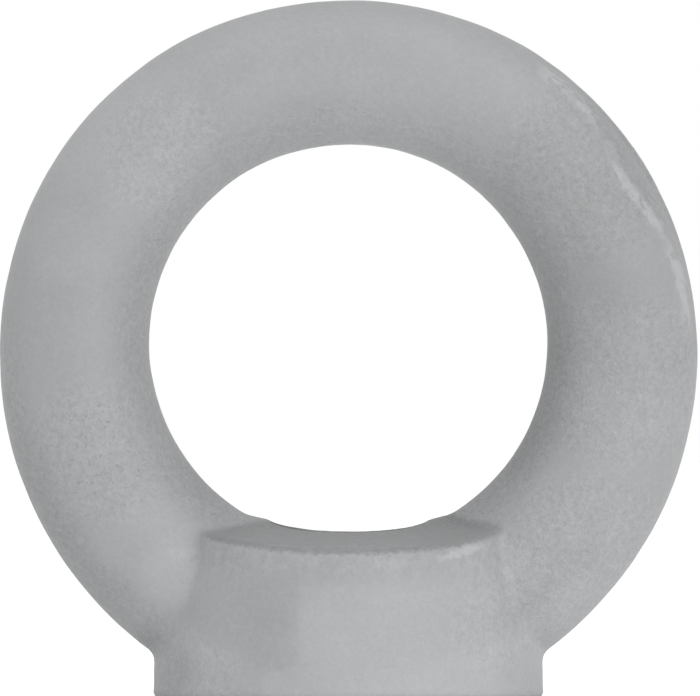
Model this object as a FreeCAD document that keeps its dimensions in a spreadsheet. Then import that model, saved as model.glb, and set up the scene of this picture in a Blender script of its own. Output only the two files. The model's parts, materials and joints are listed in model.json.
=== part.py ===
"""Lifting eye nut: one forged steel piece, a ring on a tapered collar with a threaded bore.

The origin is the centre of the flat underside. +Z runs up the thread axis, X runs across the
ring and Y runs through the eye. All lengths are millimetres and all angles degrees.
"""

import FreeCAD, Part
import os

import Sketcher

NODE = "lifting_eye_nut"

# The driving sizes: name, value and what it measures.
SIZES = [
    ("foot_diameter", 20.1, "collar, across its upright foot"),
    ("foot_height", 1.9, "upright foot of the collar, from the underside"),
    ("foot_blend", 4.0, "radius that eases the foot into the taper"),
    ("foot_chamfer", 0.25, "edge break round the underside"),
    ("collar_taper", 11.5, "slope of the collar's side above the foot"),
    ("ridge_height", 9.5, "ridge between the two shoulders on top of the collar"),
    ("shoulder_fall", 11.5, "draft of each shoulder, falling to front and back"),
    ("rim_radius", 0.55, "rounding of the collar's top rim"),
    ("eye_diameter", 20.4, "clear opening of the ring"),
    ("eye_sink", 1.4, "depth that the eye's circle would reach under the ridge"),
    ("crown_width", 7.5, "ring, across its round section, at the crown"),
    ("side_width", 7.8, "ring, across its section beside the eye"),
    ("spread_width", 8.35, "ring, across its section where it spreads to the collar"),
    ("spread_share", 0.59, "place of that section, as a share of the way from the side to the root"),
    ("root_share", 0.38, "start of the ring's ends, off the axis, as a share of the collar's radius"),
    ("root_floor", 0.6, "lowest point of the ring's ends above the underside"),
    ("root_blend", 0.8, "fillet between the ring and the collar"),
    ("seat_width", 11.0, "dish that rounds the eye's bottom, across its top"),
    ("seat_depth", 1.1, "the same dish, from its top to its lowest line"),
    ("bore_diameter", 6.65, "thread's minor diameter, M8 coarse"),
    ("mouth_diameter", 8.5, "countersink at both ends of the thread"),
    ("mouth_drop", 0.85, "from the ridge down to where the upper countersink has its full width"),
]

# Expressions that follow from the driving sizes. The roots are the ring's ends inside the collar:
# their tilt is from the vertical, and their width ends at the floor that the sizes give.
EYE_HEIGHT = "(sizes.ridge_height - sizes.eye_sink + sizes.eye_diameter / 2)"
MOUTH_HEIGHT = "(sizes.ridge_height - sizes.mouth_drop)"
ROOT_TILT = "asin(sizes.root_share * sizes.foot_diameter / sizes.eye_diameter)"
ROOT_WIDTH = f"(({EYE_HEIGHT} - sizes.root_floor) / cos({ROOT_TILT}) - sizes.eye_diameter / 2)"


def make_sheet(doc):
    """Put the driving sizes in a sheet, one row each, with the name as the alias."""
    sheet = doc.addObject("Spreadsheet::Sheet", "sizes")
    for row, (name, value, note) in enumerate(SIZES, start=1):
        sheet.set(f"A{row}", name)
        sheet.set(f"B{row}", str(value))
        sheet.set(f"C{row}", note)
        sheet.setAlias(f"B{row}", name)
    doc.recompute()
    return sheet


def add_sketch(body, role, name):
    """A sketch that lies flat on the body's own origin plane with this role."""
    sketch = body.newObject("Sketcher::SketchObject", name)
    plane = next(item for item in body.Origin.OriginFeatures if item.Role == role)
    sketch.AttachmentSupport = (plane, [""])
    sketch.MapMode = "FlatFace"
    return sketch


def point(sketch, across, up):
    """The point that two expressions give; none means zero."""
    lengths = [0 if text is None else sketch.evalExpression(text) for text in (across, up)]
    return FreeCAD.Vector(*lengths, 0)


def hold(sketch, expression, kind, *where):
    """Add a dimension of this kind that stays bound to an expression of the sizes."""
    value = sketch.evalExpression(expression)
    index = sketch.addConstraint(Sketcher.Constraint(kind, *where, value))
    sketch.setExpression(f"Constraints[{index}]", expression)


def pin(sketch, line, end, corner):
    """Hold one end of a line at two lengths from the sketch's origin; none lies on the axis."""
    for kind, axis, expression in zip(("DistanceX", "DistanceY"), (-2, -1), corner):
        if expression is None:
            sketch.addConstraint(Sketcher.Constraint("PointOnObject", line, end, axis))
        else:
            hold(sketch, expression, kind, -1, 1, line, end)


def join_ends(sketch, count):
    """Join each piece of the outline to the next, and the last to the first."""
    for index in range(count):
        sketch.addConstraint(Sketcher.Constraint("Coincident", index, 2, (index + 1) % count, 1))


def add_outline(sketch, corners):
    """Draw a closed outline of straight lines and pin every corner."""
    points = [point(sketch, *corner) for corner in corners]
    for start, end in zip(points, points[1:] + points[:1]):
        sketch.addGeometry(Part.LineSegment(start, end), False)
    join_ends(sketch, len(corners))
    for index, corner in enumerate(corners):
        pin(sketch, index, 1, corner)


def revolve(body, kind, name, profile):
    """A revolution or groove of the profile, all round the vertical axis."""
    feature = body.newObject(kind, name)
    feature.Profile = profile
    feature.ReferenceAxis = (profile, ["V_Axis"])
    feature.Angle = 360
    return feature


def add_fillet(body, base, name, chosen, size):
    """Round the chosen edges of the base feature to one of the sizes."""
    names = [f"Edge{index}" for index, edge in enumerate(base.Shape.Edges, start=1) if chosen(edge)]
    fillet = body.newObject("PartDesign::Fillet", name)
    fillet.Base = (base, names)
    fillet.setExpression("Radius", size)
    return fillet


def add_collar(doc, body, sheet):
    """The round collar: an upright foot that eases into a taper, still flat on top."""
    profile = add_sketch(body, "YZ_Plane", "collar_profile")
    foot_radius = "sizes.foot_diameter / 2"
    drawn_in = "(sizes.ridge_height - sizes.foot_height) * tan(sizes.collar_taper * 1 deg)"
    add_outline(profile, [
        (None, None),
        (f"{foot_radius} - sizes.foot_chamfer", None),
        (foot_radius, "sizes.foot_chamfer"),
        (foot_radius, "sizes.foot_height"),
        (f"{foot_radius} - {drawn_in}", "sizes.ridge_height"),
        (None, "sizes.ridge_height"),
    ])
    collar = revolve(body, "PartDesign::Revolution", "collar", profile)
    doc.recompute()

    def on_foot(edge):
        box = edge.BoundBox
        return max(abs(box.ZMin - sheet.foot_height), abs(box.ZMax - sheet.foot_height)) < 1e-6

    eased = add_fillet(body, collar, "foot_easing", on_foot, "sizes.foot_blend")
    doc.recompute()
    return eased


def add_shoulders(doc, body):
    """Cut the top of the collar to a ridge with a shoulder falling away at front and back."""
    profile = add_sketch(body, "YZ_Plane", "shoulder_profile")
    reach = "sizes.foot_diameter"
    low = "sizes.ridge_height - sizes.foot_diameter * tan(sizes.shoulder_fall * 1 deg)"
    high = "sizes.ridge_height + sizes.foot_diameter"
    add_outline(profile, [
        (None, "sizes.ridge_height"),
        (f"-{reach}", low),
        (f"-{reach}", high),
        (reach, high),
        (reach, low),
    ])
    shoulders = body.newObject("PartDesign::Pocket", "shoulders")
    shoulders.Profile = profile
    shoulders.Type = "ThroughAll"
    shoulders.Midplane = True
    doc.recompute()

    def on_rim(edge):
        box = edge.BoundBox
        return min(box.XLength, box.YLength, box.ZLength) > 0.01

    rim = add_fillet(body, shoulders, "rim_rounding", on_rim, "sizes.rim_radius")
    doc.recompute()
    return rim


def ring_stations():
    """The ring's sections from one root over the crown to the other.

    Each has a side, an angle from the crown and the width of the section.
    """
    root = (f"(180 deg - {ROOT_TILT})", ROOT_WIDTH)
    spread = (f"(90 deg + sizes.spread_share * (90 deg - {ROOT_TILT}))", "sizes.spread_width")
    side = ("90 deg", "sizes.side_width")
    haunch = ("45 deg", "(sizes.crown_width + sizes.side_width) / 2")
    crown = ("0 deg", "sizes.crown_width")
    leg = [root, spread, side, haunch]
    return [(-1, *station) for station in leg] + [(1, *crown)] + [(1, *station) for station in leg[::-1]]


def add_ring_section(body, name, side, angle, width):
    """One round section of the ring, on a plane through the eye's axis."""
    sketch = add_sketch(body, "YZ_Plane", name)
    turn = f"{side} * {angle}"
    tilt = FreeCAD.Rotation(FreeCAD.Vector(1, 0, 0), sketch.evalExpression(turn))
    centre = FreeCAD.Vector(0, sketch.evalExpression(EYE_HEIGHT), 0)
    sketch.AttachmentOffset = FreeCAD.Placement(centre, tilt)
    sketch.setExpression("AttachmentOffset.Base.y", EYE_HEIGHT)
    sketch.setExpression("AttachmentOffset.Rotation.Angle", turn)

    middle = f"sizes.eye_diameter / 2 + {width} / 2"
    radius = f"{width} / 2"
    circle = Part.Circle()
    circle.Center = point(sketch, None, middle)
    circle.Radius = sketch.evalExpression(radius)
    sketch.addGeometry(circle, False)
    pin(sketch, 0, 3, (None, middle))
    hold(sketch, radius, "Radius", 0)
    return sketch


def add_ring(doc, body, sheet):
    """The ring, lofted from root to root, and the fillet where it meets the collar."""
    sections = [add_ring_section(body, f"ring_section_{number}", *station)
                for number, station in enumerate(ring_stations(), start=1)]
    doc.recompute()
    ring = body.newObject("PartDesign::AdditiveLoft", "ring")
    ring.Profile = sections[0]
    ring.Sections = sections[1:]
    doc.recompute()

    eye_height = sheet.evalExpression(EYE_HEIGHT)
    ring_faces = [face for face in ring.Shape.Faces if face.BoundBox.ZMax > eye_height]
    other_faces = [face for face in ring.Shape.Faces if face.BoundBox.ZMax <= eye_height]

    def borders(edge, faces):
        return any(edge.isSame(side) for face in faces for side in face.Edges)

    def at_junction(edge):
        return borders(edge, ring_faces) and borders(edge, other_faces)

    blend = add_fillet(body, ring, "ring_blend", at_junction, "sizes.root_blend")
    doc.recompute()
    return blend


def add_seat(doc, body):
    """Dish the ridge between the ring's legs, so that the eye ends in a flatter curve."""
    profile = add_sketch(body, "XZ_Plane", "seat_profile")
    half = "sizes.seat_width / 2"
    top = f"{MOUTH_HEIGHT} + sizes.seat_depth"
    left, right = (f"-{half}", top), (half, top)
    start, middle, end = point(profile, *left), point(profile, None, MOUTH_HEIGHT), point(profile, *right)
    profile.addGeometry(Part.Arc(start, middle, end), False)
    profile.addGeometry(Part.LineSegment(end, start), False)
    join_ends(profile, 2)
    pin(profile, 1, 1, right)
    pin(profile, 1, 2, left)
    hold(profile, f"(({half}) ^ 2 + sizes.seat_depth ^ 2) / (2 * sizes.seat_depth)", "Radius", 0)
    seat = body.newObject("PartDesign::Pocket", "seat")
    seat.Profile = profile
    seat.Type = "ThroughAll"
    seat.Midplane = True
    doc.recompute()


def add_bore(doc, body):
    """The thread's bore, through the collar into the eye, countersunk at both ends."""
    profile = add_sketch(body, "XZ_Plane", "bore_profile")
    bore_radius = "sizes.bore_diameter / 2"
    mouth_radius = "sizes.mouth_diameter / 2"
    sink = "(sizes.mouth_diameter - sizes.bore_diameter) / 2"
    add_outline(profile, [
        (None, None),
        (mouth_radius, None),
        (bore_radius, sink),
        (bore_radius, f"{MOUTH_HEIGHT} - {sink}"),
        (mouth_radius, MOUTH_HEIGHT),
        (mouth_radius, EYE_HEIGHT),
        (None, EYE_HEIGHT),
    ])
    bore = revolve(body, "PartDesign::Groove", "thread_bore", profile)
    doc.recompute()
    return bore


def check(doc, body):
    """Stop if any object failed or the finished shape isn't one sound solid."""
    failed = [item.Name for item in doc.Objects if {"Invalid", "Error"} & set(item.State)]
    if failed:
        raise RuntimeError(f"these objects failed: {failed}")
    if body.Shape.isNull() or not body.Shape.isValid() or len(body.Shape.Solids) != 1:
        raise RuntimeError(f"{body.Label} is not one sound solid")


def main():
    doc = FreeCAD.newDocument("eye_nut")
    sheet = make_sheet(doc)
    body = doc.addObject("PartDesign::Body", "body")
    body.Label = NODE
    add_collar(doc, body, sheet)
    add_shoulders(doc, body)
    add_ring(doc, body, sheet)
    add_seat(doc, body)
    body.Tip = add_bore(doc, body)
    body.Placement = FreeCAD.Placement()
    doc.recompute()
    check(doc, body)
    os.makedirs("parts", exist_ok=True)
    body.Shape.exportStep(os.path.join("parts", f"{body.Label}.step"))
    print(f"{body.Label}: {body.Shape.Volume:.1f} cubic mm, {len(body.Shape.Faces)} faces")


main()
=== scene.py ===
"""Lifting eye nut: the forged and blasted skin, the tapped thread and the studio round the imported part.

The origin is the centre of the flat underside, +Z runs up the thread's axis, X across the ring and Y
through the eye. Lengths are metres.
"""

import json

import bpy
import numpy as np
from bpy.props import FloatProperty, FloatVectorProperty, IntProperty, PointerProperty
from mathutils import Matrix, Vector


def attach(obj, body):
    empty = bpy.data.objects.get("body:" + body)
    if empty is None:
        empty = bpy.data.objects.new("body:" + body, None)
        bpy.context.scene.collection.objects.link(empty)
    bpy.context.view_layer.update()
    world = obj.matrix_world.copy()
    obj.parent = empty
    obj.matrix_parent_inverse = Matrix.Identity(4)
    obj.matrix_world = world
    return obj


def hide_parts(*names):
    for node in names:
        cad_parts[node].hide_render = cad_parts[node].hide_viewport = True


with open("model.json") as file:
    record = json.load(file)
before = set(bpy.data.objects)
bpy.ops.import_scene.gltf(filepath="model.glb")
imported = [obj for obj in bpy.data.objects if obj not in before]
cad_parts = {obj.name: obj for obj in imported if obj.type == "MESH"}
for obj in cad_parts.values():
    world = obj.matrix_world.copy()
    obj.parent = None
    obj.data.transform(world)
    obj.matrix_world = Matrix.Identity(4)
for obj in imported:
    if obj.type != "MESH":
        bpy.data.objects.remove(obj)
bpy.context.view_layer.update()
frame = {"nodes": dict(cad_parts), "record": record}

bl_info = {
    "name": "Lifting Eye Nut",
    "version": (1, 0, 0),
    "blender": (4, 5, 0),
    "location": "3D View > Sidebar > Eye Nut",
    "description": "Makes a forged, blasted and tapped lifting eye nut and the studio that shows it",
    "category": "Add Mesh",
}

NODE = "lifting_eye_nut"
BODY = "root"
MM = 0.001
MOUNTS = {mount["name"]: mount for mount in frame["record"]["mounts"]}
THREAD_MIDDLE = MOUNTS["thread"]["pos_m"][2]
THREAD_LENGTH = MOUNTS["thread"]["dims"]["length_mm"] * MM
BORE_RADIUS = MOUNTS["thread"]["dims"]["r_mm"] * MM
EYE_CENTRE = np.array(MOUNTS["eye"]["pos_m"])

# The photograph: its frame in pixels, and where the thread's axis and the underside lie in it.
PHOTO_WIDTH = 700
PHOTO_HEIGHT = 696
PHOTO_AXIS_X = 348.4
PHOTO_BASE_Y = 698.9
PIXEL = 0.05148 * MM

# The marks on the collar's front come in between these depths.
COLLAR_FRONT = (0, -2 * MM)

# The dressed pad there, in pixels: its left, right and top sides and the spans over which they fade.
# The top's span widens to the right, up to an end. The left side steps out below a low row.
PAD_LEFT, PAD_RIGHT, PAD_TOP = 298, 515, 582
PAD_LEFT_FADE = (-4, 5)
PAD_RIGHT_FADE = 30
PAD_TOP_FADE = (-3, 6)
PAD_SPREAD, PAD_SPREAD_END = 0.07, 200
PAD_LOW, PAD_LOW_FADE, PAD_STEP = 668, 6, 35

# The rough strip below the collar's rim: the pixels where it starts and ends, and its sides.
ROUGH_STARTS = (542, 546)
ROUGH_ENDS = (584, 564)
ROUGH_SIDES = (9.6 * MM, 8.6 * MM)

# The painted glint on that rim: its middle and half width in pixels, its slope, and where it fades as a
# share of the half width.
GLINT_SPOT = (462, 551)
GLINT_HALF = (26, 5)
GLINT_SLOPE = -0.28
GLINT_FADE = (1.6, 0.2)

# Painted shade on the collar's top, under the ring, in pixels: at the left its upper edge runs through a
# place at a slope, up to where that edge ends. The shade fades to nothing at its left end and to a share
# at its right end. Then the depths inside the cone at which it comes in and how far above the ridge it ends.
TOP_SHADE_EDGE = (200, 534)
TOP_SHADE_EDGE_SLOPE = -0.2
TOP_SHADE_EDGE_FADE = (-5, 3)
TOP_SHADE_EDGE_END = (250, 280)
TOP_SHADE_LEFT_END = (197, 212)
TOP_SHADE_RIGHT_END = (514, 470)
TOP_SHADE_RIGHT_SHARE = 0.6
TOP_SHADE_CONE_EDGE = (-0.25 * MM, 0.05 * MM)
TOP_SHADE_ABOVE_RIDGE = 0.6 * MM

# Patches that the blast bit deeply, as the middle and reach in pixels, and the pitted ones; each is
# full up to a share of its reach. The blast also bit round the eye, more from the first to the second
# radius and height, and along the outline at the lower left, by a share at each angle from the crown.
BITTEN_PATCHES = ((164, 154, 76), (95, 455, 90), (590, 170, 110), (620, 380, 110), (590, 560, 110),
                  (500, 620, 60))
PITTED_PATCHES = ((98, 455, 90), (350, 138, 60))
PATCH_CORE = 0.4
BITTEN_EYE = (12.6 * MM, 10.4 * MM)
BITTEN_ABOVE = (8.5 * MM, 9.5 * MM)
BITTEN_OUTLINE = (16.4 * MM, 17.7 * MM)
BITTEN_TURNS = (-165, -150, -100, -80)
BITTEN_SHARES = (0, 1, 1, 0)

# Patches of painted light and shade, with some cloudy tone in the zinc, as the middle and reach in
# pixels and the share that they are lighter or darker.
SHADE_AND_CLOUD_PATCHES = ((135, 140, 100, 0.05), (145, 565, 90, 0.05), (172, 575, 45, 0.09), (548, 636, 40, 0.06),
          (584, 604, 45, 0.07), (637, 544, 55, 0.05), (495, 575, 55, 0.05), (380, 125, 70, 0.05),
          (66, 246, 55, 0.05), (156, 668, 55, -0.16), (85, 300, 120, -0.04), (575, 215, 130, -0.05),
          (625, 240, 90, -0.06), (648, 335, 90, -0.07), (575, 145, 90, -0.05), (272, 600, 45, -0.04),
          (270, 640, 45, -0.03), (318, 636, 52, 0.045))

# Painted light and shade inside the eye and near the ring's outline: how much lighter or darker, as a
# share, at each angle from the crown in degrees, and the radii between which each comes in.
RING_TURNS = (-170, -150, -135, -115, -90, -60, -30, 0, 30, 60, 90, 120, 145, 170)
EYE_LIGHT_AND_SHADE = (0, -0.05, -0.1, -0.03, 0, 0.06, 0.12, 0.19, 0.15, 0.03, -0.16, -0.17, -0.08, 0)
OUTLINE_LIGHT_AND_SHADE = (0.06, 0.14, -0.12, -0.14, -0.07, 0, -0.03, -0.1, -0.1, -0.06, 0, 0, 0.12, 0.06)
EYE_SHADE_FADE = (12.8 * MM, 10.3 * MM)
OUTLINE_SHADE_FADE = (16.0 * MM, 17.8 * MM)

# The trimmed flash: the angles from the crown, in degrees, where it starts, ends and was cut askew,
# the depths between which it comes in, and how deep its facet goes for each length outside the edge.
# A point where nothing is trimmed counts as this far inside the edge.
TRIM_STARTS = (20, 34)
TRIM_ENDS = (104, 90)
TRIM_ASKEW, TRIM_ASKEW_SPAN = 59, 11
TRIM_FRONT = (0.8 * MM, -0.4 * MM)
TRIM_FACET = 0.2
UNTRIMMED = -1.5 * MM

# The ring's outer radius at the crown, and what it gains towards the sides.
CROWN_RADIUS, SIDE_GAIN = 17.7 * MM, 0.3 * MM

# How strongly the trimmed crest and its painted highlight show at each angle from the crown, in degrees
# and as a share, and the depths between which they come in.
CREST_TURNS = (33, 37, 47, 50, 55, 57.5, 69, 72, 75, 85, 90)
CREST_AND_HIGHLIGHT_SHARES = (0, 0.8, 0.8, 0.2, 0.3, 1, 1, 0.25, 0.9, 0.8, 0)
CREST_FRONT = (-0.6 * MM, -1.4 * MM)

# Between which levels of its noise each pattern of the finish comes in. The bites' coarse places come
# in from the least share of the grain.
BITE_LEVELS = (0.2, 0.8)
LEAST_GRAIN = 0.4
SPECK_LEVELS = (0.62, 0.78)
PIT_LEVELS = (0.62, 0.74)
GLINT_LEVELS = (0.2, 0.9)
BREAK_LEVELS = (0.34, 0.5)

# Distances in millimetres: below the collar's top where the painted shade comes in and goes, and from
# the trimmed edge where the crest goes and the band outside it comes in and goes.
TOP_SHADE_IN, TOP_SHADE_OUT = (-0.4, -0.1), (0.1, 0.32)
CREST_OUT = (0.08, 0.4)
BAND_IN, BAND_OUT = (0.15, 0.45), (0.9, 1.5)

# How far noise moves the bites, the painted shade's edge, the painted glint and the crest, and how high
# the open pits, the rough strip and the crest stand, with the grain as 1.
BITE_WANDER, TOP_SHADE_WANDER, GLINT_WANDER, CREST_WANDER = 0.5, 0.5, 1.2, 0.8
PIT_RELIEF, ROUGH_RELIEF, CREST_RELIEF = -0.4, 0.8, 0.5

# The collar: the ridge that its shoulders fall from, the dish between the ring's legs and the cone
# that tapers up from the foot.
RIDGE_TOP = 9.5 * MM
SHOULDER_FALL = np.radians(11.5)
DISH_RADIUS = 14.3 * MM
DISH_CENTRE_Z = 22.7 * MM
CONE_FOOT_RADIUS = 10.05 * MM
CONE_FOOT_Z = 1.9 * MM
CONE_TAPER = np.radians(11.5)

# Where the ridge meets the dish, the same on both sides, and how often it is smoothed there.
RIDGE_CORNER_X = 4.7 * MM
RIDGE_CORNER_Z = 9.4 * MM
RIDGE_SMOOTHINGS = 16

# The forged skin: how many waves make its swells and its pits, the ripple's share of the swell's
# width and height, how many wave heights it sinks so that it stays inside the solid, the levels
# between which pits come in, and the heights between which the flat underside ends.
SWELL_WAVES, PIT_WAVES = 40, 90
RIPPLE_SHARE = 0.25
SINK = 1.5
SCALE_PIT_LEVELS = (1.1, 2.2)
FLAT_ENDS = (0.1 * MM, 0.9 * MM)

# How much the depth of the thread's groove changes for each length along the axis, as its flanks
# stand 60 degrees apart. The tap runs past the bore's ends, in rows along the axis and columns round it.
FLANK_RISE = np.tan(np.radians(60))
TAP_OVERRUN = 1.2 * MM
TAP_ROW = 0.07 * MM
TAP_COLUMNS = 80

# Corners of the solid's triangles that lie this close are one.
WELD_GAP = 0.0005 * MM

# Each lamp's name, azimuth from the front to the right and elevation in degrees, and power in watts.
LAMPS = (("key", 30, 8, 2.5), ("top", 0, 90, 1.1), ("left", -90, 38, 0.45), ("right", 90, 8, 0.35))

# The white of the light and of what is seen behind the part, and the paper's own.
WHITE = (1, 1, 1, 1)
PAPER = (0.85, 0.85, 0.85, 1)


def hex_colour(text):
    """A linear colour with full alpha from an sRGB hex value such as #A8A9AA."""
    parts = np.array([int(text[place:place + 2], 16) for place in (1, 3, 5)]) / 255
    linear = np.where(parts <= 0.04045, parts / 12.92, ((parts + 0.055) / 1.055) ** 2.4)
    return (*linear.tolist(), 1.0)


def length(name, description, default):
    """A property that holds a length."""
    return FloatProperty(name=name, description=description, default=default, min=0, subtype="DISTANCE",
                         unit="LENGTH", precision=5)


def share(name, description, default):
    """A property that holds a share between 0 and 1."""
    return FloatProperty(name=name, description=description, default=default, min=0, max=1, subtype="FACTOR")


class ForgingSettings(bpy.types.PropertyGroup):
    """Sizes of the forged skin and of its trimmed edge."""

    mesh_step: length("Mesh step", "Edge length of the skin's even mesh", 0.22 * MM)
    wave_height: length("Wave height", "Most that the forged skin swells or dips", 0.03 * MM)
    wave_width: length("Wave width", "From one swell of the forged skin to the next", 7 * MM)
    pit_depth: length("Pit depth", "Depth of the shallow scale pits", 0.03 * MM)
    pit_width: length("Pit width", "From one scale pit to the next", 1.6 * MM)
    ridge_ease: length("Ridge ease", "Reach of the rounding where the ridge meets its dish", 1.2 * MM)
    trim_inset: length("Trim inset", "From the ring's outline to the trimmed edge", 0.6 * MM)
    trim_swell: length("Trim swell", "More inset where the flash was cut off askew", 0.85 * MM)
    seed: IntProperty(name="Seed", description="Start of the random draws for waves and pits", default=8)


class ThreadSettings(bpy.types.PropertyGroup):
    """Sizes of the tapped thread."""

    pitch: length("Pitch", "Pitch of the M8 coarse thread", 1.25 * MM)
    diameter: length("Diameter", "Major diameter of the thread", 8 * MM)
    crest_relief: length("Crest relief", "How far the tap opens the bored wall", 0.035 * MM)
    mouth_diameter: length("Mouth diameter", "Width of the countersinks", 8.62 * MM)


class FinishSettings(bpy.types.PropertyGroup):
    """Colour and grain of the blasted zinc finish."""

    zinc: FloatVectorProperty(
        name="Zinc", description="Colour of the blasted zinc",
        default=hex_colour("#A4A5A6"), size=4, min=0, max=1, subtype="COLOR")
    roughness: share("Roughness", "Roughness of the blasted zinc", 0.72)
    metal: share("Metal", "Part of the finish that shines as bare metal; the rest is dull zinc", 0.35)
    grain_width: length("Grain width", "Width of the widest grain of the blasted surface", 0.32 * MM)
    grain_depth: length("Grain depth", "Height of the blasted grain", 0.06 * MM)
    speck_width: length("Speck width", "Width of the light specks and of the open pits", 0.2 * MM)
    mottle_width: length("Mottle width", "Width of the slow mottle", 3 * MM)
    bite_width: length("Bite width", "From one coarse place of the grain to the next", 5 * MM)
    ragged_width: length("Ragged width", "Width of the notches in the coat's edge", 0.4 * MM)
    bump_width: length("Bump width", "Width of the bumps in the rough strip", 0.6 * MM)
    shake_width: length("Shake width", "From one sway of the trimmed crest to the next", 0.9 * MM)
    break_width: length("Break width", "From one break of the trimmed crest to the next", 0.7 * MM)
    grain_tone: share("Grain tone", "How much the grain lightens and darkens the zinc", 0.5)
    speck_tone: share("Speck tone", "How much lighter the specks are", 0.05)
    mottle_tone: share("Mottle tone", "How much the mottle lightens and darkens the zinc", 0.08)
    pit_tone: share("Pit tone", "How much darker the open pits are", 0.08)
    pad_tone: share("Pad tone", "How much lighter the dressed pad is", 0.07)
    # Strength of the painted shade on the collar's top.
    top_shade_tone: share("Coat tone", "How much darker the thin coat is", 0.27)
    rough_tone: share("Rough tone", "How much the rough strip lightens and darkens the zinc", 0.4)
    # Strength of the painted glint on the collar's rim.
    glint_tone: share("Worn tone", "How much lighter the worn spot is", 0.2)
    # Strength of the painted highlight along the trimmed crest.
    crest_highlight_tone: share("Crest tone", "How much lighter the trimmed crest is", 0.24)
    band_tone: share("Band tone", "How much darker the band outside the crest is", 0.05)


class StudioSettings(bpy.types.PropertyGroup):
    """Camera distance and light of the studio."""

    camera_distance: length("Camera distance", "From the camera to the middle of the ring", 1.5)
    lamp_distance: length("Lamp distance", "From each lamp to the middle of the ring", 0.8)
    lamp_size: length("Lamp size", "Width of each round lamp", 0.5)
    floor_half: length("Floor half width", "From the part to each edge of the floor", 3.0)
    floor_gap: length("Floor gap", "From the part's underside to the floor", 0.02 * MM)
    room_light: share("Room light", "Strength of the plain white light from all round", 0.76)
    paper_glow: share("Paper glow", "Light added to the paper where it is seen, so that it looks white", 0.4)


def photo_place(across, down):
    """X and Z of a pixel of the photograph, on the plane through the ring's middle."""
    return (across - PHOTO_AXIS_X) * PIXEL, (PHOTO_BASE_Y - down) * PIXEL


def photo_pixels(points):
    """The photograph's pixels, across and down, in front of each point."""
    return points[:, 0] / PIXEL + PHOTO_AXIS_X, PHOTO_BASE_Y - points[:, 2] / PIXEL


def add_node(tree, kind, settings=(), inputs=()):
    """Add a node with its settings; inputs gives a value or an output for a socket's name or number."""
    node = tree.nodes.new(kind)
    for name, value in dict(settings).items():
        setattr(node, name, value)
    for socket, value in dict(inputs).items():
        if isinstance(value, bpy.types.NodeSocket):
            tree.links.new(value, node.inputs[socket])
        else:
            node.inputs[socket].default_value = value
    return node


def noise(points, width, count, draws):
    """Smooth noise between about -1 and 1: a sum of cosine waves along random directions.

    Each wave is cos(k . p + phase), with a wave length between 0.7 and 1.4 times the width.
    """
    directions = draws.normal(size=(count, 3))
    directions /= np.linalg.norm(directions, axis=1, keepdims=True)
    lengths = width * draws.uniform(0.7, 1.4, count)
    phases = draws.uniform(0, 2 * np.pi, count)
    waves = np.cos(points @ (directions * (2 * np.pi / lengths)[:, None]).T + phases)
    return waves.sum(axis=1) / np.sqrt(2 * count)


def smoothstep(low, high, value):
    """0 at low, 1 at high and an S-shaped rise between them; low may lie above high."""
    rise = np.clip((value - low) / (high - low), 0, 1)
    return rise * rise * (3 - 2 * rise)


def coordinates(mesh):
    """The vertices of a mesh as an array of rows."""
    flat = np.empty(len(mesh.vertices) * 3)
    mesh.vertices.foreach_get("co", flat)
    return flat.reshape(-1, 3)


def normals_of(mesh):
    """The vertex normals of a mesh as an array of rows."""
    flat = np.empty(len(mesh.vertices) * 3)
    mesh.vertex_normals.foreach_get("vector", flat)
    return flat.reshape(-1, 3)


def apply_modifiers(piece):
    """Put what the modifiers give into the mesh and drop them."""
    shape = bpy.data.meshes.new_from_object(piece.evaluated_get(bpy.context.evaluated_depsgraph_get()))
    old = piece.data
    piece.modifiers.clear()
    piece.data = shape
    bpy.data.meshes.remove(old)


def joined_copy(node, name):
    """A copy of a CAD node with its loose triangles joined at their shared corners."""
    mesh = frame["nodes"][node].data.copy()
    mesh.materials.clear()
    piece = bpy.data.objects.new(name, mesh)
    bpy.context.collection.objects.link(piece)
    weld = piece.modifiers.new("weld", "WELD")
    weld.merge_threshold = WELD_GAP
    apply_modifiers(piece)
    return piece


def plug_bore(piece, radius, top):
    """Take away the faces of the bore and close its two mouths with a fan of triangles each.

    An edge that only one of the faces left uses lies on a mouth, and each fan runs from such edges
    to the middle of that mouth, as high as its lowest corner.
    """
    points = coordinates(piece.data)
    corners = np.empty(len(piece.data.polygons) * 3, dtype=int)
    piece.data.polygons.foreach_get("vertices", corners)
    corners = corners.reshape(-1, 3)
    inside = (np.hypot(points[:, 0], points[:, 1]) < radius) & (points[:, 2] < top)
    kept = corners[~inside[corners].all(axis=1)]
    edges = np.vstack([kept[:, [0, 1]], kept[:, [1, 2]], kept[:, [2, 0]]])
    _, place, uses = np.unique(np.sort(edges, axis=1), axis=0, return_inverse=True, return_counts=True)
    rim = edges[uses[place.ravel()] == 1]
    low = points[rim[:, 0], 2] < top / 2
    mouths = points[rim[low, 0]], points[rim[~low, 0]]
    middles = np.array([[*mouth[:, :2].mean(axis=0), mouth[:, 2].min()] for mouth in mouths])
    fans = np.column_stack([rim[:, ::-1], np.where(low, len(points), len(points) + 1)])
    mesh = bpy.data.meshes.new(piece.name)
    mesh.from_pydata(np.vstack([points, middles]).tolist(), [], np.vstack([kept, fans]).tolist())
    mesh.update()
    old = piece.data
    piece.data = mesh
    bpy.data.meshes.remove(old)


def even_skin(piece, guide, step):
    """Remesh a piece in even squares and draw them back onto the guide's exact surface."""
    remesh = piece.modifiers.new("remesh", "REMESH")
    remesh.mode = "VOXEL"
    remesh.voxel_size = step
    wrap = piece.modifiers.new("wrap", "SHRINKWRAP")
    wrap.target = guide
    apply_modifiers(piece)


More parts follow.
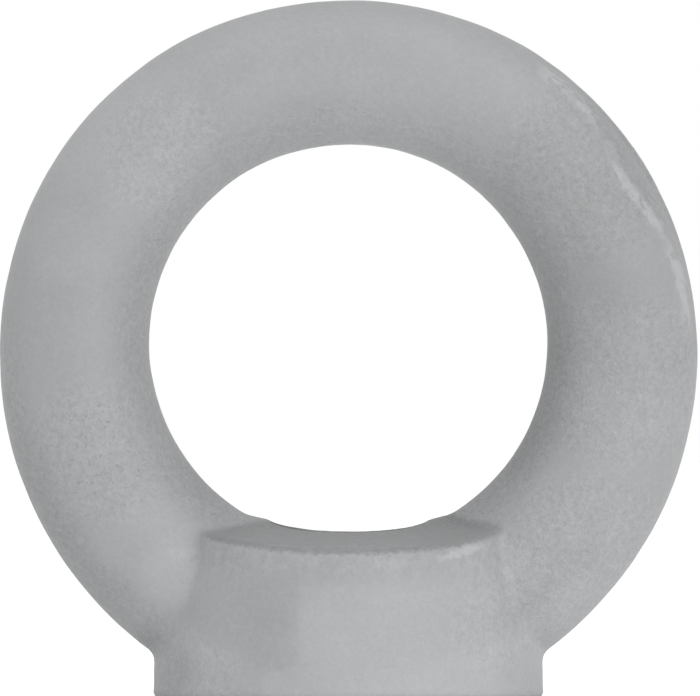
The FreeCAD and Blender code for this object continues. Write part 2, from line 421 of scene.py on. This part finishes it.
def past_trim(points, settings):
    """How far each point lies outside the trimmed flash's front edge, in metres, and its angle.

    The edge runs round the ring's outer front. It lies inset from the outline by a small width that
    swells as a bell curve of the angle from the crown where the flash was cut off askew.
    """
    across, up = points[:, 0] - EYE_CENTRE[0], points[:, 2] - EYE_CENTRE[2]
    turn = np.degrees(np.arctan2(across, up))
    shown = smoothstep(*TRIM_STARTS, turn) * smoothstep(*TRIM_ENDS, turn)
    askew = np.exp(-((turn - TRIM_ASKEW) / TRIM_ASKEW_SPAN) ** 2)
    inset = (settings.trim_inset + settings.trim_swell * askew) * shown
    outline = CROWN_RADIUS + SIDE_GAIN * smoothstep(0, 90, np.abs(turn))
    past = np.hypot(across, up) - (outline - inset)
    shown *= smoothstep(*TRIM_FRONT, points[:, 1])
    return past * shown + UNTRIMMED * (1 - shown), turn


def ease_ridge(piece, width):
    """Round the small corners where the ridge between the ring's legs meets its dished seat."""
    points = coordinates(piece.data)
    corner = np.array([RIDGE_CORNER_X, 0, RIDGE_CORNER_Z])
    away = np.linalg.norm(np.column_stack([np.abs(points[:, 0]), points[:, 1:]]) - corner, axis=1)
    near = np.flatnonzero(away < width)
    group = piece.vertex_groups.new(name="ridge")
    group.add(near.tolist(), 1.0, "REPLACE")
    smooth = piece.modifiers.new("smooth", "SMOOTH")
    smooth.vertex_group = group.name
    smooth.iterations = RIDGE_SMOOTHINGS
    apply_modifiers(piece)
    piece.vertex_groups.clear()


def forge_skin(piece, settings):
    """Move the skin along its normals: long swells, shallow pits and the facet left by trimming."""
    draws = np.random.default_rng(settings.seed)
    points, normals = coordinates(piece.data), normals_of(piece.data)
    swell = noise(points, settings.wave_width, SWELL_WAVES, draws)
    ripple = noise(points, settings.wave_width * RIPPLE_SHARE, SWELL_WAVES, draws)
    spots = noise(points, settings.pit_width, PIT_WAVES, draws)
    lift = settings.wave_height * (swell + RIPPLE_SHARE * ripple - SINK)
    lift -= settings.pit_depth * smoothstep(*SCALE_PIT_LEVELS, spots)
    lift -= TRIM_FACET * np.clip(past_trim(points, settings)[0], 0, None)
    keep = smoothstep(*FLAT_ENDS, points[:, 2])
    moved = points + normals * (lift * keep)[:, None]
    piece.data.vertices.foreach_set("co", moved.ravel())
    piece.data.update()


def grid_mesh(name, points):
    """A closed mesh from a grid of points: rows run along the axis, columns go round.

    The first and last rows are closed with one point each, at the mean of the row.
    """
    rows, columns, _ = points.shape
    corners = np.arange(rows * columns).reshape(rows, columns)
    after = np.roll(corners, -1, axis=1)
    quads = np.stack([corners[:-1], after[:-1], after[1:], corners[1:]], axis=-1).reshape(-1, 4)
    low, high = rows * columns, rows * columns + 1
    low_fan = np.stack([np.full(columns, low), after[0], corners[0]], axis=-1)
    high_fan = np.stack([np.full(columns, high), corners[-1], after[-1]], axis=-1)
    vertices = np.vstack([points.reshape(-1, 3), points[0].mean(axis=0), points[-1].mean(axis=0)])
    mesh = bpy.data.meshes.new(name)
    mesh.from_pydata(vertices.tolist(), [], quads.tolist() + low_fan.tolist() + high_fan.tolist())
    mesh.update()
    return mesh


def tap_mesh(settings):
    """The space that the tap and the two countersinks cut, as one closed surface.

    At each height and turn the radius is the groove's, the crest's or the countersink's, whichever
    is widest. The groove is a pitch / 8 wide at its root, and its place along the axis rises by one
    pitch a turn, right-handed.
    """
    crest = BORE_RADIUS + settings.crest_relief
    low_end = THREAD_MIDDLE - THREAD_LENGTH / 2
    high_end = THREAD_MIDDLE + THREAD_LENGTH / 2
    heights = np.arange(-TAP_OVERRUN, high_end + low_end + TAP_OVERRUN, TAP_ROW)[:, None]
    turns = np.linspace(0, 2 * np.pi, TAP_COLUMNS, endpoint=False)[None, :]
    from_groove = np.abs((heights / settings.pitch - turns / (2 * np.pi)) % 1 - 0.5) * settings.pitch
    groove = settings.diameter / 2 - np.maximum(from_groove - settings.pitch / 16, 0) * FLANK_RISE
    sink = crest + np.maximum(low_end - heights, heights - high_end)
    radius = np.maximum(np.maximum(groove, crest), np.minimum(sink, settings.mouth_diameter / 2))
    points = [radius * np.cos(turns), radius * np.sin(turns), heights + 0 * turns]
    return grid_mesh("tap", np.stack(points, axis=-1))


def cut_thread(piece, settings):
    """Cut the tapped bore out of a piece."""
    tap = bpy.data.objects.new("tap", tap_mesh(settings))
    bpy.context.collection.objects.link(tap)
    cut = piece.modifiers.new("cut", "BOOLEAN")
    cut.operation = "DIFFERENCE"
    cut.solver = "EXACT"
    cut.object = tap
    apply_modifiers(piece)
    bpy.data.meshes.remove(tap.data)


def below_seat(points):
    """How far each point lies below the collar's top: two shoulders, falling from a ridge, and a dish."""
    shoulders = RIDGE_TOP - np.abs(points[:, 1]) * np.tan(SHOULDER_FALL)
    across = np.clip(points[:, 0], -DISH_RADIUS, DISH_RADIUS)
    dish = DISH_CENTRE_Z - np.sqrt(DISH_RADIUS ** 2 - across ** 2)
    return np.minimum(shoulders, dish) - points[:, 2]


def inside_cone(points):
    """How far each point lies inside the collar's cone, measured level."""
    cone = CONE_FOOT_RADIUS - (points[:, 2] - CONE_FOOT_Z) * np.tan(CONE_TAPER)
    return cone - np.hypot(points[:, 0], points[:, 1])


def patches(across, down, places):
    """For each round patch, 1 in its middle, fading to 0 at its reach; all in pixels."""
    away = (np.hypot(across - middle_across, down - middle_down) / reach
            for middle_across, middle_down, reach in places)
    return [smoothstep(1, PATCH_CORE, share_of_reach) for share_of_reach in away]


def pad_share(across, down):
    """How much of the dressed pad on the collar's front lies at each pixel."""
    step = PAD_STEP * smoothstep(PAD_LOW - PAD_LOW_FADE, PAD_LOW + PAD_LOW_FADE, down)
    spread = np.clip(across - PAD_LEFT, 0, PAD_SPREAD_END) * PAD_SPREAD
    return (smoothstep(*PAD_LEFT_FADE, across - PAD_LEFT + step)
            * smoothstep(PAD_RIGHT, PAD_RIGHT - PAD_RIGHT_FADE, across)
            * smoothstep(PAD_TOP + PAD_TOP_FADE[0] - spread, PAD_TOP + PAD_TOP_FADE[1] + spread, down))


def glint_share(across, down):
    """How much of the painted glint on the collar's rim lies at each pixel."""
    along = across - GLINT_SPOT[0]
    aside = down - GLINT_SPOT[1] - GLINT_SLOPE * along
    return smoothstep(*GLINT_FADE, np.hypot(along / GLINT_HALF[0], aside / GLINT_HALF[1]))


def top_shade_share(points, across, down):
    """How much of the painted shade on the collar's top lies at each point."""
    below_edge = down - TOP_SHADE_EDGE[1] - TOP_SHADE_EDGE_SLOPE * (across - TOP_SHADE_EDGE[0])
    left = np.maximum(smoothstep(*TOP_SHADE_EDGE_FADE, below_edge), smoothstep(*TOP_SHADE_EDGE_END, across))
    left *= smoothstep(*TOP_SHADE_LEFT_END, across)
    right = TOP_SHADE_RIGHT_SHARE + (1 - TOP_SHADE_RIGHT_SHARE) * smoothstep(*TOP_SHADE_RIGHT_END, across)
    return (left * right * smoothstep(*TOP_SHADE_CONE_EDGE, inside_cone(points))
            * smoothstep(RIDGE_TOP + TOP_SHADE_ABOVE_RIDGE, RIDGE_TOP, points[:, 2]))


def rough_share(points, down):
    """How much of the rough strip below the collar's rim lies at each point."""
    return (smoothstep(*ROUGH_STARTS, down) * smoothstep(*ROUGH_ENDS, down)
            * smoothstep(*ROUGH_SIDES, np.abs(points[:, 0])))


def bitten_share(points, across, down, reach, turn):
    """How deeply the blast bit each point."""
    eye = smoothstep(*BITTEN_EYE, reach) * smoothstep(*BITTEN_ABOVE, points[:, 2])
    outline = smoothstep(*BITTEN_OUTLINE, reach) * np.interp(turn, BITTEN_TURNS, BITTEN_SHARES)
    return np.max(patches(across, down, BITTEN_PATCHES) + [eye, outline], axis=0)


def painted_shade_and_cloud_share(across, down, reach, turn):
    """How much lighter or darker each point is drawn: painted light and shade, with some cloudy tone."""
    shade_and_cloud_patches = patches(across, down, [painted_shade_and_cloud[:3] for painted_shade_and_cloud in SHADE_AND_CLOUD_PATCHES])
    # Painted light and shade inside the eye and along the ring's outline, by angle.
    eye = np.interp(turn, RING_TURNS, EYE_LIGHT_AND_SHADE) * smoothstep(*EYE_SHADE_FADE, reach)
    outline = np.interp(turn, RING_TURNS, OUTLINE_LIGHT_AND_SHADE) * smoothstep(*OUTLINE_SHADE_FADE, reach)
    return np.array([painted_shade_and_cloud[3] for painted_shade_and_cloud in SHADE_AND_CLOUD_PATCHES]) @ shade_and_cloud_patches + eye + outline


def mark_skin(piece, settings):
    """Store what the finish follows, one number for each vertex.

    past_trim is the distance outside the trimmed edge and below_seat the distance below the collar's
    top, both in millimetres. The rest are shares: the crest along the trimmed edge, which also carries a
    painted highlight; painted shade over the collar's top; the pad on the dressed front of the collar;
    rough below its rim; a painted glint on the rim; bitten where the blast bit deeply; pitted where it
    left open pits; and painted light and shade, with some cloudy tone, where the zinc is lighter or darker.
    """
    points = coordinates(piece.data)
    across, down = photo_pixels(points)
    past, turn = past_trim(points, settings)
    reach = np.hypot(points[:, 0] - EYE_CENTRE[0], points[:, 2] - EYE_CENTRE[2])
    front = smoothstep(*COLLAR_FRONT, points[:, 1])
    marks = {
        "past_trim": past / MM,
        "crest": np.interp(turn, CREST_TURNS, CREST_AND_HIGHLIGHT_SHARES) * smoothstep(*CREST_FRONT, points[:, 1]),
        "pad": front * pad_share(across, down),
        "below_seat": below_seat(points) / MM,
        "seat": top_shade_share(points, across, down),
        "rough": front * rough_share(points, down),
        "painted_glint": front * glint_share(across, down),
        "bitten": bitten_share(points, across, down, reach, turn),
        "pitted": np.max(patches(across, down, PITTED_PATCHES), axis=0),
        "painted_shade_and_cloud": painted_shade_and_cloud_share(across, down, reach, turn),
    }
    for name, values in marks.items():
        piece.data.attributes.new(name, "FLOAT", "POINT").data.foreach_set("value", values)


def mark(tree, name):
    """The value that is stored on the skin under a name."""
    return add_node(tree, "ShaderNodeAttribute", {"attribute_name": name}).outputs["Fac"]


def speckle(tree, place, width, detail=0.0, roughness=0.5):
    """Noise between 0 and 1 with spots about as wide as the width."""
    return add_node(tree, "ShaderNodeTexNoise", (), {
        "Vector": place, "Scale": 1 / width, "Detail": detail, "Roughness": roughness}).outputs["Fac"]


def wander(tree, place, width, detail, roughness=0.5):
    """Such noise between -0.5 and 0.5."""
    return compute(tree, "SUBTRACT", speckle(tree, place, width, detail, roughness), 0.5)


def ramp(tree, value, low, high, start=0.0, end=1.0):
    """A smooth change from start to end while the value goes from low to high."""
    return add_node(tree, "ShaderNodeMapRange", {"interpolation_type": "SMOOTHSTEP"}, {
        "Value": value, "From Min": low, "From Max": high, "To Min": start, "To Max": end}).outputs["Result"]


def compute(tree, operation, *values):
    """The result of a math node."""
    return add_node(tree, "ShaderNodeMath", {"operation": operation}, dict(enumerate(values))).outputs[0]


def scaled_onto(tree, pattern, strength, base):
    """The base with the pattern added at a strength."""
    return compute(tree, "MULTIPLY_ADD", pattern, strength, base)


def blasted_grain(tree, place, settings, tone):
    """The tone with grain, light specks, slow mottle and open pits on it, and the relief of these.

    The grain is three widths of noise, each half as wide as the one before and as strong. The finest
    is drawn 0.08 mm wide, since the true grain is too fine to show. It is full where the blast bit
    deeply and weaker elsewhere.
    """
    bites = speckle(tree, place, settings.bite_width, detail=1.0)
    bites = scaled_onto(tree, bites, BITE_WANDER, mark(tree, "bitten"))
    coarse = ramp(tree, bites, *BITE_LEVELS, start=LEAST_GRAIN)
    grain = wander(tree, place, settings.grain_width, detail=2.0, roughness=1.0)
    grain = compute(tree, "MULTIPLY", grain, coarse)
    specks = ramp(tree, speckle(tree, place, settings.speck_width), *SPECK_LEVELS)
    specks = compute(tree, "MULTIPLY", specks, coarse)
    mottle = wander(tree, place, settings.mottle_width, detail=2.0)
    pits = ramp(tree, speckle(tree, place, settings.speck_width, detail=1.0), *PIT_LEVELS)
    pits = compute(tree, "MULTIPLY", pits, mark(tree, "pitted"))
    tone = scaled_onto(tree, grain, settings.grain_tone, tone)
    tone = scaled_onto(tree, specks, settings.speck_tone, tone)
    tone = scaled_onto(tree, mottle, settings.mottle_tone, tone)
    tone = scaled_onto(tree, pits, -settings.pit_tone, tone)
    return tone, scaled_onto(tree, pits, PIT_RELIEF, grain)


def collar_marks_and_shade(tree, place, settings, tone, relief):
    """The tone and relief with what marks the collar.

    Its front has a lighter dressed pad. Its top has painted shade, with a ragged front edge, a
    rough strip below it and one painted glint.
    """
    ragged = wander(tree, place, settings.ragged_width, detail=3.0, roughness=0.8)
    below = scaled_onto(tree, ragged, TOP_SHADE_WANDER, mark(tree, "below_seat"))
    # Painted shade on the collar's top, under the ring.
    top_shade = compute(tree, "MULTIPLY", ramp(tree, below, *TOP_SHADE_IN), ramp(tree, below, *TOP_SHADE_OUT, 1.0, 0.0))
    top_shade = compute(tree, "MULTIPLY", top_shade, mark(tree, "seat"))
    bumps = wander(tree, place, settings.bump_width, detail=3.0, roughness=0.7)
    rough = compute(tree, "MULTIPLY", bumps, mark(tree, "rough"))
    # A painted glint on the collar's rim.
    painted_glint = ramp(tree, scaled_onto(tree, ragged, GLINT_WANDER, mark(tree, "painted_glint")), *GLINT_LEVELS)
    tone = scaled_onto(tree, mark(tree, "pad"), settings.pad_tone, tone)
    tone = scaled_onto(tree, top_shade, -settings.top_shade_tone, tone)
    tone = scaled_onto(tree, rough, settings.rough_tone, tone)
    tone = scaled_onto(tree, painted_glint, settings.glint_tone, tone)
    return tone, scaled_onto(tree, rough, ROUGH_RELIEF, relief)


def trimmed_flash(tree, place, settings, tone, relief):
    """The tone and relief with a broken crest, lightened as a painted highlight, and a smooth darker band
    outside it.
    """
    shake = wander(tree, place, settings.shake_width, detail=3.0, roughness=0.7)
    past = scaled_onto(tree, shake, CREST_WANDER, mark(tree, "past_trim"))
    crest = ramp(tree, compute(tree, "ABSOLUTE", past), *CREST_OUT, 1.0, 0.0)
    unbroken = ramp(tree, speckle(tree, place, settings.break_width, detail=2.0), *BREAK_LEVELS)
    crest = compute(tree, "MULTIPLY", compute(tree, "MULTIPLY", crest, unbroken), mark(tree, "crest"))
    band = compute(tree, "MULTIPLY", ramp(tree, past, *BAND_IN), ramp(tree, past, *BAND_OUT, 1.0, 0.0))
    # The crest is drawn lighter: a painted highlight on the real ridge.
    tone = scaled_onto(tree, crest, settings.crest_highlight_tone, tone)
    tone = scaled_onto(tree, band, -settings.band_tone, tone)
    return tone, scaled_onto(tree, crest, CREST_RELIEF, relief)


def blasted_zinc(settings):
    """Forged steel, blasted and coated with grey zinc.

    To the eye it is matt and even, light grey, with a fine salt and pepper grain that the blast left
    coarser in patches, painted shade on the collar's top under the ring, a painted glint on its rim,
    painted light and shade over the ring, and a broken crest where the flash was trimmed, lightened as a
    painted highlight.
    """
    material = bpy.data.materials.new("blasted grey zinc on forged steel")
    material.use_nodes = True
    tree = material.node_tree
    tree.nodes.clear()
    place = add_node(tree, "ShaderNodeTexCoord").outputs["Object"]
    # Painted light and shade over the ring, with some cloudy tone.
    tone = compute(tree, "ADD", mark(tree, "painted_shade_and_cloud"), 1.0)
    tone, relief = blasted_grain(tree, place, settings, tone)
    tone, relief = collar_marks_and_shade(tree, place, settings, tone, relief)
    tone, relief = trimmed_flash(tree, place, settings, tone, relief)
    colour = add_node(tree, "ShaderNodeVectorMath", {"operation": "SCALE"}, {
        0: settings.zinc[:3], "Scale": tone}).outputs[0]
    bump = add_node(tree, "ShaderNodeBump", (), {
        "Strength": 1.0, "Distance": settings.grain_depth, "Height": relief}).outputs[0]
    shader = add_node(tree, "ShaderNodeBsdfPrincipled", (), {
        "Base Color": colour, "Metallic": settings.metal, "Roughness": settings.roughness, "Normal": bump})
    add_node(tree, "ShaderNodeOutputMaterial", (), {"Surface": shader.outputs[0]})
    return material


class EYENUT_OT_forge(bpy.types.Operator):
    """Make the forged skin with its waves and pits, tap it and give it the blasted zinc finish"""

    bl_idname = "eyenut.forge"
    bl_label = "Forge the eye nut"

    def execute(self, context):
        forging, thread = context.scene.eyenut_forging, context.scene.eyenut_thread
        guide = joined_copy(NODE, "guide")
        plug_bore(guide, thread.mouth_diameter / 2, RIDGE_TOP)
        piece = bpy.data.objects.new("forged_eye_nut", guide.data.copy())
        context.collection.objects.link(piece)
        even_skin(piece, guide, forging.mesh_step)
        bpy.data.meshes.remove(guide.data)
        ease_ridge(piece, forging.ridge_ease)
        forge_skin(piece, forging)
        cut_thread(piece, thread)
        mark_skin(piece, forging)
        piece.data.shade_smooth()
        piece.data.materials.append(blasted_zinc(context.scene.eyenut_finish))
        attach(piece, BODY)
        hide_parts(NODE)
        return {"FINISHED"}


def seen_by_eye(tree):
    """1 for the rays that show a surface: from the camera, a gloss or a clear body; 0 for the rest."""
    path = add_node(tree, "ShaderNodeLightPath").outputs
    either = compute(tree, "MAXIMUM", path["Is Camera Ray"], path["Is Glossy Ray"])
    return compute(tree, "MAXIMUM", either, path["Is Transmission Ray"])


def make_world(scene, room_light):
    """White where it is seen, and a plain white light of its own strength for the rest."""
    world = bpy.data.worlds.new("studio")
    scene.world = world
    world.use_nodes = True
    tree = world.node_tree
    tree.nodes.clear()
    room = add_node(tree, "ShaderNodeBackground", {"name": "room"}, {"Color": WHITE, "Strength": room_light})
    white = add_node(tree, "ShaderNodeBackground", {"name": "white"}, {"Color": WHITE, "Strength": 1.0})
    mixed = add_node(tree, "ShaderNodeMixShader", (), {
        0: seen_by_eye(tree), 1: room.outputs[0], 2: white.outputs[0]})
    add_node(tree, "ShaderNodeOutputWorld", (), {"Surface": mixed.outputs[0]})


def studio_paper(glow_strength):
    """White paper, matt, with a light of its own where it is seen, so that only shadows show on it."""
    material = bpy.data.materials.new("matt white studio paper")
    material.use_nodes = True
    tree = material.node_tree
    tree.nodes.clear()
    paper = add_node(tree, "ShaderNodeBsdfDiffuse", (), {"Color": PAPER})
    glow = add_node(tree, "ShaderNodeEmission", {"name": "glow"}, {
        "Color": WHITE, "Strength": glow_strength})
    shown = add_node(tree, "ShaderNodeAddShader", (), {0: paper.outputs[0], 1: glow.outputs[0]})
    mixed = add_node(tree, "ShaderNodeMixShader", (), {
        0: seen_by_eye(tree), 1: paper.outputs[0], 2: shown.outputs[0]})
    add_node(tree, "ShaderNodeOutputMaterial", (), {"Surface": mixed.outputs[0]})
    return material


def make_floor(context, settings):
    """A wide level floor of studio paper, just clear of the part's underside."""
    half, level = settings.floor_half, -settings.floor_gap
    corners = [(-half, -half, level), (half, -half, level), (half, half, level), (-half, half, level)]
    mesh = bpy.data.meshes.new("floor")
    mesh.from_pydata(corners, [], [(0, 1, 2, 3)])
    mesh.materials.append(studio_paper(settings.paper_glow))
    floor = bpy.data.objects.new("floor", mesh)
    context.collection.objects.link(floor)


def add_lamp(context, settings, name, azimuth, elevation, watts):
    """A soft round lamp that faces the ring; azimuth 0 is in front and 90 to the right."""
    turn, rise = np.radians(azimuth), np.radians(elevation)
    back = Vector((np.sin(turn) * np.cos(rise), -np.cos(turn) * np.cos(rise), np.sin(rise)))
    data = bpy.data.lights.new(name, "AREA")
    data.shape = "DISK"
    data.size = settings.lamp_size
    data.energy = watts
    lamp = bpy.data.objects.new(name, data)
    lamp.location = Vector(EYE_CENTRE) + back * settings.lamp_distance
    lamp.rotation_mode = "QUATERNION"
    lamp.rotation_quaternion = back.to_track_quat("Z", "Y")
    lamp.visible_camera = False
    context.collection.objects.link(lamp)


def add_camera(context, distance):
    """A level camera far in front, whose frame takes in what the photograph shows."""
    data = bpy.data.cameras.new("camera")
    data.lens = data.sensor_width * distance / (PHOTO_WIDTH * PIXEL)
    camera = bpy.data.objects.new("camera", data)
    context.collection.objects.link(camera)
    across, up = photo_place(PHOTO_WIDTH / 2, PHOTO_HEIGHT / 2)
    camera.location = (across, -distance, up)
    camera.rotation_euler = (np.pi / 2, 0, 0)
    context.scene.camera = camera


class EYENUT_OT_studio(bpy.types.Operator):
    """Make the pale floor, the soft lamps and the camera"""

    bl_idname = "eyenut.studio"
    bl_label = "Set up the studio"

    def execute(self, context):
        settings = context.scene.eyenut_studio
        make_world(context.scene, settings.room_light)
        make_floor(context, settings)
        for lamp in LAMPS:
            add_lamp(context, settings, *lamp)
        add_camera(context, settings.camera_distance)
        context.scene.view_settings.view_transform = "Standard"
        return {"FINISHED"}


class EYENUT_PT_panel(bpy.types.Panel):
    """Sizes, finish and studio of the eye nut, with the operators that make them"""

    bl_label = "Eye Nut"
    bl_space_type = "VIEW_3D"
    bl_region_type = "UI"
    bl_category = "Eye Nut"

    def draw(self, context):
        scene = context.scene
        for group in (scene.eyenut_forging, scene.eyenut_thread, scene.eyenut_finish):
            self.list_settings(group)
        self.layout.operator(EYENUT_OT_forge.bl_idname)
        self.list_settings(scene.eyenut_studio)
        self.layout.operator(EYENUT_OT_studio.bl_idname)

    def list_settings(self, group):
        for name in type(group).__annotations__:
            self.layout.prop(group, name)


SETTINGS = {"eyenut_forging": ForgingSettings, "eyenut_thread": ThreadSettings,
            "eyenut_finish": FinishSettings, "eyenut_studio": StudioSettings}
CLASSES = (*SETTINGS.values(), EYENUT_OT_forge, EYENUT_OT_studio, EYENUT_PT_panel)


def register():
    for kind in CLASSES:
        bpy.utils.register_class(kind)
    for name, kind in SETTINGS.items():
        setattr(bpy.types.Scene, name, PointerProperty(type=kind))


def unregister():
    for name in SETTINGS:
        delattr(bpy.types.Scene, name)
    for kind in reversed(CLASSES):
        bpy.utils.unregister_class(kind)


def main():
    register()
    bpy.ops.eyenut.forge()
    bpy.ops.eyenut.studio()


if __name__ == "__main__":
    main()
